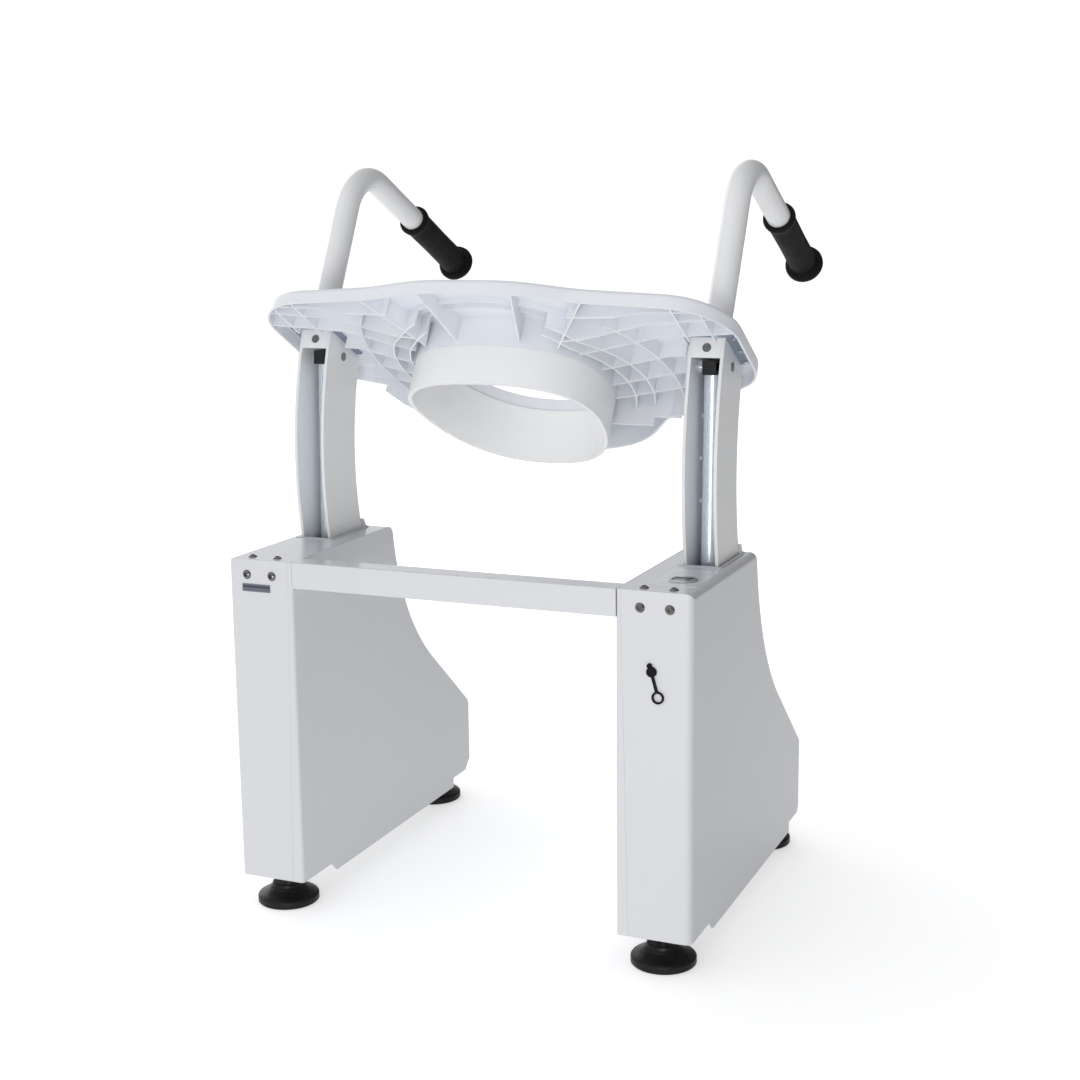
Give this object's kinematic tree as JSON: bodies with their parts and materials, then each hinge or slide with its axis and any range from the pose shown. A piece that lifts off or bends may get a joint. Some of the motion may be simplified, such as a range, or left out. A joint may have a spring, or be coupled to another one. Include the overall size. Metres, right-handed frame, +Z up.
{
  "type": "powered toilet lift seat",
  "caption": "Powered lift that raises and tilts a toilet seat on curved columns between two floor-standing housings, with grab handles.",
  "frame": {"origin": "on the floor under the middle of the object's outline", "axes": "+Z up, -Y the way the user faces, +X the user's left"},
  "size_m": [0.6324, 0.626, 0.9513],
  "materials": {
    "shell_white": "glossy white moulded cover",
    "painted_white": "glossy white powder coat",
    "seat_white": "semi-gloss bluish-white moulding",
    "collar_white": "semi-gloss warm white moulding",
    "trim_grey": "satin light grey",
    "plate_grey": "satin mid grey, blank",
    "black_plastic": "satin black",
    "rocker_black": "gloss black",
    "rubber_black": "matt black rubber",
    "steel": "plated steel",
    "dark_screw": "dark polished screw heads",
    "column_paint": "white paint outside, silver inside the channel",
    "pad_black": "satin black nylon",
    "tube_silver": "satin silver",
    "bracket_steel": "blue-grey coated steel",
    "zinc": "zinc-plated sheet",
    "dark_metal": "dark painted casting",
    "glide": "natural bearing plastic"
  },
  "bodies": {
    "base": {"base_pins": "steel", "battery_pack": "black_plastic", "charge_socket": "black_plastic", "column_glides": "glide", "control_box": "black_plastic", "cover_screws": "dark_screw", "crossbar": "painted_white", "foot_lock_nuts": "steel", "left_actuator_bracket": "zinc", "left_actuator_jacket": "black_plastic", "left_chassis": "zinc", "left_column_trim": "shell_white", "left_gearbox": "dark_metal", "left_inner_cover": "shell_white", "left_lift_motor": "dark_metal", "left_outer_cover": "shell_white", "rating_plate": "plate_grey", "right_actuator_bracket": "zinc", "right_actuator_jacket": "black_plastic", "right_chassis": "zinc", "right_column_trim": "shell_white", "right_gearbox": "dark_metal", "right_inner_cover": "shell_white", "right_lift_motor": "dark_metal", "right_outer_cover": "shell_white", "switch_bezel": "steel", "switch_plate": "trim_grey"},
    "lift": {"bracket_screws": "steel", "handle_set_screws": "dark_screw", "head_plugs": "plate_grey", "left_column": "column_paint", "left_column_head": "painted_white", "left_grip": "rubber_black", "left_handle": "painted_white", "left_lift_pin": "dark_screw", "left_seat_bracket": "bracket_steel", "pin_spacers": "tube_silver", "right_column": "column_paint", "right_column_head": "painted_white", "right_grip": "rubber_black", "right_handle": "painted_white", "right_lift_pin": "dark_screw", "right_seat_bracket": "bracket_steel", "seat": "seat_white", "splash_collar": "collar_white"},
    "power_rocker": {"power_rocker": "rocker_black"},
    "charge_cap": {"charge_cap": "rubber_black"},
    "left_ram": {"left_actuator_rod": "tube_silver", "left_rod_end": "black_plastic"},
    "left_rear_stem": {"left_rear_foot_stem": "steel"},
    "left_rear_pad": {"left_rear_foot_pad": "pad_black"},
    "left_front_stem": {"left_front_foot_stem": "steel"},
    "left_front_pad": {"left_front_foot_pad": "pad_black"},
    "right_ram": {"right_actuator_rod": "tube_silver", "right_rod_end": "black_plastic"},
    "right_rear_stem": {"right_rear_foot_stem": "steel"},
    "right_rear_pad": {"right_rear_foot_pad": "pad_black"},
    "right_front_stem": {"right_front_foot_stem": "steel"},
    "right_front_pad": {"right_front_foot_pad": "pad_black"}
  },
  "joints": [
    {"name": "seat_lift", "type": "hinge", "parent": "base", "child": "lift", "pos_m": [0, -0.33393, 0.568], "axis": [1, 0, 0], "range_deg": [-30, 0]},
    {"name": "left_ram_slide", "type": "slide", "parent": "base", "child": "left_ram", "axis": [0, -0.0349, 0.9994], "range_m": [-0.245, 0]},
    {"name": "right_ram_slide", "type": "slide", "parent": "base", "child": "right_ram", "axis": [0, -0.0349, 0.9994], "range_m": [-0.245, 0]},
    {"name": "rocker_tilt", "type": "hinge", "parent": "base", "child": "power_rocker", "pos_m": [-0.273, 0.24157, 0.4605], "axis": [1, 0, 0], "range_deg": [-8, 8]},
    {"name": "charge_cap_pull", "type": "slide", "parent": "base", "child": "charge_cap", "axis": [0, 1, 0], "range_m": [0, 0.012]},
    {"name": "left_rear_foot_height", "type": "slide", "parent": "base", "child": "left_rear_stem", "axis": [0, 0, -1], "range_m": [-0.004, 0.012]},
    {"name": "left_rear_pad_tilt", "type": "hinge", "parent": "left_rear_stem", "child": "left_rear_pad", "pos_m": [0.2615, 0.27157, 0.015], "axis": [1, 0, 0], "range_deg": [-5, 5]},
    {"name": "left_front_foot_height", "type": "slide", "parent": "base", "child": "left_front_stem", "axis": [0, 0, -1], "range_m": [-0.004, 0.012]},
    {"name": "left_front_pad_tilt", "type": "hinge", "parent": "left_front_stem", "child": "left_front_pad", "pos_m": [0.2615, -0.16043, 0.015], "axis": [1, 0, 0], "range_deg": [-5, 5]},
    {"name": "right_rear_foot_height", "type": "slide", "parent": "base", "child": "right_rear_stem", "axis": [0, 0, -1], "range_m": [-0.004, 0.012]},
    {"name": "right_rear_pad_tilt", "type": "hinge", "parent": "right_rear_stem", "child": "right_rear_pad", "pos_m": [-0.2615, 0.27157, 0.015], "axis": [1, 0, 0], "range_deg": [-5, 5]},
    {"name": "right_front_foot_height", "type": "slide", "parent": "base", "child": "right_front_stem", "axis": [0, 0, -1], "range_m": [-0.004, 0.012]},
    {"name": "right_front_pad_tilt", "type": "hinge", "parent": "right_front_stem", "child": "right_front_pad", "pos_m": [-0.2615, -0.16043, 0.015], "axis": [1, 0, 0], "range_deg": [-5, 5]}
  ],
  "couplings": [
    {"joint": "left_ram_slide", "follows": "seat_lift", "m_per_rad": 0.4556},
    {"joint": "right_ram_slide", "follows": "seat_lift", "m_per_rad": 0.4556}
  ]
}
